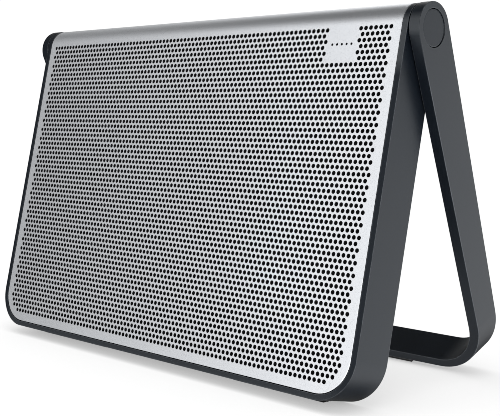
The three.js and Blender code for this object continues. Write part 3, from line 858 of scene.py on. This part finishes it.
def button_marks(name, x, z, y0, y1):
    if name == "volume_up":
        return [bar(x, z, 1.5, 0.24, y0, y1), bar(x, z, 0.24, 1.5, y0, y1)]
    if name == "volume_down":
        return [bar(x, z, 1.5, 0.24, y0, y1)]
    if name == "power":
        start, end = math.radians(125), math.radians(415)
        ring = arc(x, z, 1.55, start, end, 28) + arc(x, z, 1.1, end, start, 28)
        return [prism(ring, y0, y1), block(x - 0.22, x + 0.22, y0, y1, z + 0.5, z + 1.9)]
    ring = [(1.1, y0), (1.5, y0), (1.5, y1), (1.1, y1), (1.1, y0)]
    return [lathe_y(ring, x, z, 40), lathe_y(rod(0.45, y0, y1), x, z, 24)]


def button(name, x):
    top = 10.75
    mark_top = top - 0.005
    # flange, stem, rounded rim and slightly dished top
    cap = lathe_y([(0, 7.3), (5.2, 7.3), (5.2, 7.9), (4.0, 7.9), (4.0, top - 0.45),
                   (3.9, top - 0.2), (3.62, top - 0.05), (3.2, top), (2.9, top - 0.04),
                   (1.6, top - 0.14), (0, top - 0.17)], x, BUTTON_Z, 56)
    for mark in button_marks(name, x, BUTTON_Z, top - 0.6, mark_top):
        join(cap, mark)
    settle(cap, f"{name}_button_cap", SLAB, f"{name}_key", f"{name}_button",
           LOOK["dark_plastic"], 30)
    # the tops of the marks are printed
    cap.data.materials.append(LOOK["paint"])
    to_slab = SLAB.inverted()
    points = [to_slab @ v.co for v in cap.data.vertices]
    for face in cap.data.polygons:
        corners = [points[i] for i in face.vertices]
        if all(abs(p.y - mark_top) < 1e-3 and math.hypot(p.x - x, p.z - BUTTON_Z) < 2.5
               for p in corners):
            face.material_index = 1


for name, x in BUTTONS:
    button(name, x)


def port_flap():
    """flap over the port opening, its lower edge rounded about the pivot"""
    pivot_y, pivot_z, r = 9.25, PORT_Z0 + 1.3, 0.85
    top = PORT_Z1 - GAP
    x0, x1 = PORT_X0 + GAP, PORT_X1 - GAP
    outline = [(pivot_y + r, pivot_z), (pivot_y + r, top), (pivot_y - r, top),
               (pivot_y - r, pivot_z)] + arc(pivot_y, pivot_z, r, math.pi, 2 * math.pi, 14)[1:-1]
    flap = prism(outline, x0, x1, "x")
    # finger nick at the upper edge
    inside, outside = pivot_y + 0.15, pivot_y + r + 0.3
    nick = [(0, inside), (4.2, inside), (5.2, outside), (0, outside)]
    cut(flap, lathe_y(nick, (x0 + x1) / 2, PORT_Z1 + 2.0, 48))
    bevel(flap, 0.16, 2)
    settle(flap, "port_door_flap", SLAB, "port_door", "port_flap",
           LOOK["dark_plastic"])


port_flap()


# ------------------------------------------------------------------ feet
def foot(part, side_name, body, place, angle, grooves, x, length, front, back, bottom):
    """pad cut off at the floor, its ends sloping in, with shallow grooves along its length"""
    def ground(y):
        return -(AXIS.z / MM + y * math.sin(angle)) / math.cos(angle)

    middle = SIDES[side_name] * x
    x0, x1 = middle - length / 2, middle + length / 2
    pad = prism([(front, bottom + 0.9), (front, ground(front)), (back, ground(back)),
                 (back, bottom + 0.9)], x0, x1, "x")
    for end, out in ((x0, -1), (x1, 1)):
        cut(pad, prism([(end, bottom), (end + out * 2, bottom), (end + out * 2, bottom - 8),
                        (end - out * 8, bottom - 8)], -20, 20))
    for y in grooves:
        groove_top = ground(y) + 0.35
        cut(pad, prism([(y - 0.5, ground(y - 0.5) - 0.6), (y + 0.5, ground(y + 0.5) - 0.6),
                        (y + 0.3, groove_top), (y - 0.3, groove_top)], x0 - 1, x1 + 1, "x"))
    bevel(pad, 0.18, 2)
    settle(pad, f"{part}_foot_pad_{side_name}", place, body, f"{part}_foot_{side_name}",
           LOOK["rubber"])


for side_name in SIDES:
    foot("slab", side_name, "speaker", SLAB, LEAN, grooves=(4.9, 6.4, 7.9), **SLAB_FOOT)
    foot("stand", side_name, "stand", STAND, TILT, grooves=(-4.0, -2.3, -0.6), **STAND_FOOT)


# ------------------------------------------------------------------ swing stand
# inside of the U, given at y = INSIDE_Y; towards the back its floor rises and its corners tighten
INSIDE_Y, INSIDE_DEPTH, INSIDE_CORNER = -7.25, 152.4, 20
INSIDE_SLOPE, CORNER_SLOPE = 0.2818, 0.2
# (radius, x from the outer face of the arm)
HINGE_RECESS = [(0, -3.2), (5.5, -3.2), (5.5, -1.6), (7.75, -1.6), (7.75, 2), (0, 2)]
CAP_PROFILE = [(0, -1.3), (7.1, -1.3), (7.5, -1.0), (7.5, -0.52), (7.44, -0.4), (7.3, -0.35),
               (6.9, -0.35), (0, -0.35)]


def stand_inside(y):
    floor_z = -(INSIDE_DEPTH - (y - INSIDE_Y) * INSIDE_SLOPE)
    r = INSIDE_CORNER - (y - INSIDE_Y) * CORNER_SLOPE
    points = arc(ARM_IN - r, floor_z + r, r, -math.pi / 2, 0, 24)
    points += [(ARM_IN, 40), (-ARM_IN, 40)]
    points += arc(-ARM_IN + r, floor_z + r, r, math.pi, 1.5 * math.pi, 24)
    return [(x, y, z) for x, z in points]


def lathe_at_arm(profile, side):
    return lathe_x([(r, side * (ARM_OUT + t)) for r, t in profile], 96)


def stand():
    body = prism(rounded(ARM_OUT, STAND_BOTTOM, 40, 24.6, steps=36), -15, 15)
    # side view: a round head over arms that narrow downwards
    low = STAND_BOTTOM - 4
    half = HEAD_R + 0.1 + TAPER * low
    slope = math.atan(TAPER)
    side_view = [(-half, low), (half, low)] + arc(0, 0, HEAD_R, slope, math.pi - slope, 64)
    common(body, prism(side_view, -ARM_OUT - 5, ARM_OUT + 5, "x"))
    cut(body, loft([stand_inside(y) for y in (-16, -8, 0, 8, 16)]))
    for side in SIDES.values():
        cut(body, lathe_at_arm(HINGE_RECESS, side))
        cut(body, lathe_x(rod(3.3, side * (ARM_IN - 3), side * (ARM_OUT + 1)), 48))
        cut(body, foot_pocket(side, **STAND_FOOT))
    # the roundings take a second slot, the painted edge highlight
    bevel(body, 0.5, 3, highlight_slot=True)
    settle(body, "swing_stand", STAND, "stand", "stand_frame", LOOK["dark_metal"],
           edge=LOOK["painted_edge_highlight"])


stand()

for side_name, side in SIDES.items():
    settle(lathe_at_arm(CAP_PROFILE, side), f"hinge_cap_{side_name}", STAND, "stand",
           f"arm_cap_{side_name}", LOOK["cap_metal"], 30)

# ------------------------------------------------------------------ CAD nodes that stay
FINISH = {
    "rubber": ["cover_gasket", "baffle_gasket_left", "baffle_gasket_right",
               "driver_surround_left", "driver_surround_right", "passive_surround"],
    "steel": ["driver_basket_left", "driver_basket_right", "shield_can", "charge_port",
              "hinge_block_left", "hinge_block_right"],
    "steel_turned": ["friction_washer_left", "friction_washer_right", "hinge_pin_left",
                     "hinge_pin_right", "hinge_nut_left", "hinge_nut_right",
                     "driver_magnet_left", "driver_magnet_right"],
    "cloth": ["acoustic_cloth"],
    "clear_plastic": ["status_light_bar"],
    "dark_plastic": ["baffle", "passive_radiator", "aux_jack"],
    "cone": ["driver_cone_left", "driver_cone_right"],
    "board": ["button_board", "main_board", "port_board"],
    "battery_wrap": ["battery_pack"],
    "copper": ["antenna"],
    "bush_plastic": ["hinge_bush_left", "hinge_bush_right"],
    "wire_red": ["speaker_wire_left", "battery_cable"],
    "wire_black": ["speaker_wire_right"],
}
left_over = set(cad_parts)
for key, names in FINISH.items():
    for name in names:
        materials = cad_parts[name].data.materials
        materials.clear()
        materials.append(LOOK[key])
        left_over.discard(name)
for name in left_over:
    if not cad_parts[name].hide_render:
        raise RuntimeError(f"{name} has no finish")

# ------------------------------------------------------------------ studio floor
BACKDROP = 1.05  # white seen by the camera, on the far floor and in the sky
# brightness of the floor in reflections, near the bar of the stand and under the slab
GLOSS_NEAR, GLOSS_UNDER = 0.12, 0.19


def floor_material():
    """The camera sees a pale floor with a light contact shadow. Reflections see it darker under
    the slab and the bar of the stand, and see through it to the world elsewhere."""
    mat = Material("studio_floor", principled=False)
    tone = mat.mix(mat.noise(scale=3, detail=2), (0.985, 0.985, 0.985), (1.0, 1.0, 1.0))

    def diffuse(albedo):
        colour = mat.mix(albedo, (0, 0, 0), tone)
        return mat.put(mat.add("BsdfDiffuse"), color=colour).outputs[0]

    def glow(strength):
        return mat.put(mat.add("Emission"), strength=strength).outputs[0]

    x, y, _ = mat.split(mat.place)
    out_x = mat.calc("SUBTRACT", mat.calc("ABSOLUTE", x), 0.116)

    def under(y0, y1, reach):
        """1 inside a strip of the floor, falling to 0 at a reach outside it"""
        from_middle = mat.calc("ABSOLUTE", mat.calc("SUBTRACT", y, (y0 + y1) / 2))
        out_y = mat.calc("SUBTRACT", from_middle, (y1 - y0) / 2)
        return mat.span(mat.calc("MAXIMUM", out_x, out_y), to=FALLING, over=(0.0, reach))

    under_slab = under(-0.050, -0.030, reach=0.010)
    under_bar = under(0.048, 0.090, reach=0.013)
    ray = mat.add("LightPath").outputs
    through = mat.add("BsdfTransparent").outputs[0]
    in_gloss = mat.mix_shaders(under_bar, through, glow(GLOSS_NEAR))
    in_gloss = mat.mix_shaders(under_slab, in_gloss, glow(GLOSS_UNDER))
    unseen = mat.mix_shaders(ray["Is Glossy Ray"], diffuse(albedo=0.86), in_gloss)

    occlusion = mat.put(mat.add("AmbientOcclusion", samples=12), distance=0.10)
    shade = mat.calc("POWER", occlusion.outputs["AO"], 0.45)
    lit_tone = mat.calc("MULTIPLY", mat.span(shade, to=(0.40, 0.74)), tone)
    both = mat.add("AddShader")
    mat.feed(both.inputs[0], glow(lit_tone))
    mat.feed(both.inputs[1], diffuse(albedo=0.09))
    distance = mat.add("VectorMath", operation="LENGTH")
    mat.feed(distance.inputs[0], mat.place)
    far = mat.span(distance.outputs["Value"], over=(0.30, 0.60))
    shown = mat.mix_shaders(far, both.outputs[0], glow(BACKDROP))
    mat.feed(mat.surface, mat.mix_shaders(ray["Is Camera Ray"], unseen, shown))
    return mat.block


floor = new_object("studio_floor", [(-6, -6, 0), (6, -6, 0), (6, 6, 0), (-6, 6, 0)],
                   [(0, 1, 2, 3)], tidy=False)
floor.data.materials.append(floor_material())

# ------------------------------------------------------------------ world
# what glossy rays see: (sine of the elevation, brightness)
HEIGHT = [(0.0, 1.0), (0.12, 1.0), (0.28, 0.94), (0.48, 0.94), (0.58, 0.76), (0.70, 0.32),
          (0.80, 0.13), (0.92, 0.12), (1.0, 0.16)]
# (x of the direction, left to right, factor)
ACROSS = [(-1.0, 0.16), (-0.9, 0.21), (-0.84, 0.34), (-0.80, 0.47), (-0.76, 0.61),
          (-0.72, 0.71), (-0.68, 0.80), (-0.64, 0.96), (-0.60, 1.17), (-0.56, 1.38),
          (-0.5, 1.44), (-0.35, 1.28), (-0.15, 0.92), (0.0, 0.80), (0.2, 0.85), (0.4, 1.05),
          (1.0, 1.15)]
# light off the floor to the right: (x of the direction, brightness)
BOUNCE = [(0.0, 0.0), (0.25, 0.0), (0.46, 1.95), (0.54, 2.35), (0.59, 1.55), (0.7, 1.6),
          (1.0, 2.4)]
# how much of the bounce is seen: (half the sine of the elevation plus a half, share)
BOUNCE_HEIGHT = [(0.40, 1.0), (0.49, 1.0), (0.56, 0.0)]
AMBIENT = 1.55  # even sky for diffuse rays


def studio_world():
    """Camera rays see plain white, diffuse rays an even white sky, and glossy rays the studio:
    bright walls, a dark ceiling, darker to the left, and light off the floor to the right."""
    world = bpy.data.worlds.new("studio")
    scene.world = world
    sky = Nodes(world, "OutputWorld")
    world.cycles.sampling_method = "NONE"

    def ramp(source, stops, peak=None):
        """brightness by source; stops brighter than 1 are scaled by their peak"""
        node = sky.add("ValToRGB")
        node.color_ramp.interpolation = "LINEAR"
        sky.feed(node.inputs[0], source)
        elements = node.color_ramp.elements
        elements.remove(elements[1])
        for i, (position, value) in enumerate(stops):
            element = elements.new(position) if i else elements[0]
            element.position = position
            element.color = (value / (peak or 1),) * 3 + (1,)
        if peak is None:
            return node.outputs[0]
        return sky.calc("MULTIPLY", node.outputs[0], peak)

    def halved(source):
        """-1 to 1 brought to 0 to 1"""
        return sky.calc("MULTIPLY_ADD", source, 0.5, 0.5)

    def background(strength):
        node = sky.add("Background")
        return sky.put(node, strength=strength, color=(1, 1, 1)).outputs[0]

    x, _, z = sky.split(sky.add("TexCoord").outputs["Generated"])
    walls = sky.calc("MULTIPLY", ramp(z, HEIGHT),
                     ramp(halved(x), [((at + 1) / 2, value) for at, value in ACROSS], peak=1.5))
    bounce = sky.calc("MULTIPLY", ramp(x, BOUNCE, peak=3.0), ramp(halved(z), BOUNCE_HEIGHT))
    studio = background(sky.calc("ADD", walls, bounce))
    ray = sky.add("LightPath").outputs
    unseen = sky.mix_shaders(ray["Is Diffuse Ray"], studio, background(AMBIENT))
    shown = sky.mix_shaders(ray["Is Camera Ray"], unseen, background(BACKDROP))
    sky.feed(sky.surface, shown)


studio_world()


# ------------------------------------------------------------------ lights
def area(name, location, aim, size, power):
    """square area light, hidden from the camera and from reflections"""
    light = bpy.data.lights.new(name, "AREA")
    light.shape, light.size, light.size_y, light.energy = "RECTANGLE", size, size, power
    obj = bpy.data.objects.new(name, light)
    obj.location = location
    obj.rotation_mode = "QUATERNION"
    obj.rotation_quaternion = (Vector(aim) - Vector(location)).to_track_quat("-Z", "Y")
    obj.visible_camera = False
    obj.visible_glossy = False
    scene.collection.objects.link(obj)
    return obj


area("overhead", location=(0.1, -0.1, 1.5), aim=(0, 0, 0), size=1.8, power=5)
# the key from the front only shapes the shadow on the floor
key = area("key", location=(0.16, -0.46, 1.7), aim=(0.05, 0, 0), size=1.7, power=86)
lit = bpy.data.collections.new("lit_by_key")
lit.objects.link(floor)
key.light_linking.receiver_collection = lit

# ------------------------------------------------------------------ camera
# its right, up and backward directions in the slab's frame
CAMERA_AXES = ((0.72497, 0.67026, 0.15869),
               (-0.06706, -0.16061, 0.98474),
               (0.68551, -0.72454, -0.07149))


def add_camera():
    data = bpy.data.cameras.new("camera")
    data.sensor_width, data.lens = 36.0, 73.99
    data.clip_start, data.clip_end = 0.01, 50
    camera = bpy.data.objects.new("camera", data)
    scene.collection.objects.link(camera)
    scene.camera = camera
    sine, cosine = math.sin(LEAN), math.cos(LEAN)
    lean = Matrix(((1, 0, 0), (0, cosine, -sine), (0, sine, cosine)))
    camera.rotation_mode = "QUATERNION"
    camera.rotation_quaternion = (lean @ Matrix(CAMERA_AXES).transposed()).to_quaternion()
    camera.location = (0.35458, -0.35536, 0.11913)


add_camera()

scene.view_settings.view_transform = "Standard"
scene.view_settings.look = "None"
scene.cycles.filter_width = 0.85
